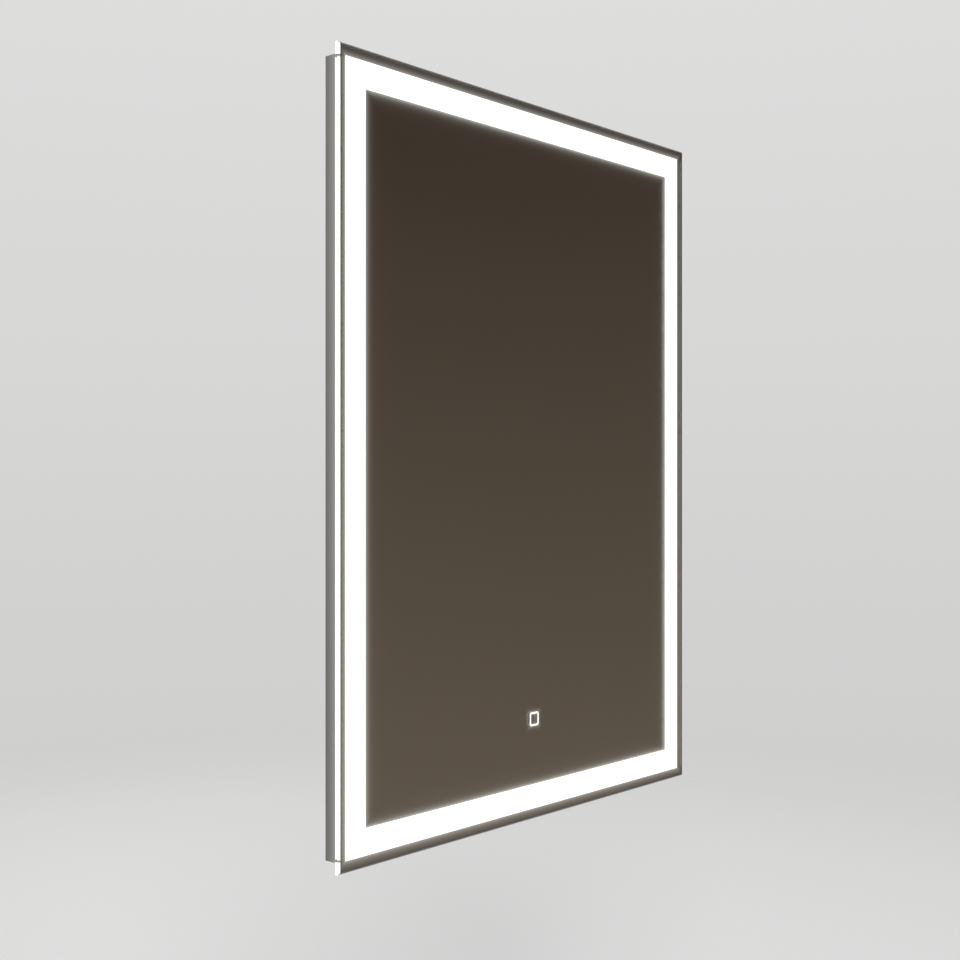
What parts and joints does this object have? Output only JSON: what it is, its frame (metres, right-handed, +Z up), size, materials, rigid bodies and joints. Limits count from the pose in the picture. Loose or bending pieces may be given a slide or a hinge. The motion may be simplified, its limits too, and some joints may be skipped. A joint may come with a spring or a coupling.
{
  "type": "lighted bathroom mirror",
  "caption": "Rectangular wall mirror with an etched light band all round and a lit touch key, on an aluminium channel frame that hooks over a wall rail.",
  "frame": {"origin": "on the wall plane, midway between the wall rail's two round screw holes", "axes": "+Z up along the mirror's height, +X to the right seen from the front, +Y into the wall; the glass faces -Y"},
  "size_m": [0.6, 0.03, 0.8],
  "materials": {
    "glass": "polished float glass, ground edge",
    "coating": "silvered, painted back",
    "frame_metal": "satin anodised",
    "rail_steel": "zinc plated",
    "bond_tape": "closed-cell foam",
    "opal": "opal acrylic",
    "led_tape": "white flexible circuit",
    "led_chip": "phosphor gel",
    "bumper": "matt",
    "driver_case": "fine moulded grain",
    "board": "solder mask",
    "ferrite": "matt sintered",
    "copper": "enamelled copper",
    "capacitor": "heat-shrink sleeve",
    "heatsink": "extruded",
    "terminal": "moulded",
    "gland": "nylon",
    "sensor_case": "fine moulded grain",
    "lead_jacket": "soft vinyl",
    "clip": "nylon",
    "grommet": "matt"
  },
  "bodies": {
    "wall_mount": {"wall_rail": "rail_steel"},
    "mirror": {"bond_tape_inner": "bond_tape", "bond_tape_outer": "bond_tape", "corner_cleats": "rail_steel", "corner_jumpers": "lead_jacket", "diffuser_bottom": "opal", "diffuser_left": "opal", "diffuser_right": "opal", "diffuser_top": "opal", "driver_board": "board", "driver_capacitors": "capacitor", "driver_case": "driver_case", "driver_cover": "driver_case", "driver_heatsink": "heatsink", "driver_pads": "bond_tape", "electrode_pin": "copper", "frame_bottom": "frame_metal", "frame_grommet": "grommet", "frame_left": "frame_metal", "frame_right": "frame_metal", "frame_top": "frame_metal", "gland_nut": "gland", "hanging_rail": "rail_steel", "key_lamps": "led_chip", "lead_clips": "clip", "lead_driver_to_sensor": "lead_jacket", "lead_sensor_to_ring": "lead_jacket", "lead_terminal": "terminal", "led_chips_bottom": "led_chip", "led_chips_left": "led_chip", "led_chips_right": "led_chip", "led_chips_top": "led_chip", "led_tape_bottom": "led_tape", "led_tape_left": "led_tape", "led_tape_right": "led_tape", "led_tape_top": "led_tape", "mains_gland": "gland", "mains_terminal": "terminal", "mirror_coating": "coating", "mirror_glass": "glass", "rail_rivets": "heatsink", "sensor_board": "board", "sensor_case": "sensor_case", "sensor_tape": "bond_tape", "touch_electrode": "copper", "transformer_coil": "copper", "transformer_core": "ferrite", "wall_bumpers": "bumper"}
  },
  "joints": [
    {"name": "lift_off", "type": "slide", "parent": "wall_mount", "child": "mirror", "axis": [0, 0, 1], "range_m": [0, 0.014]}
  ]
}
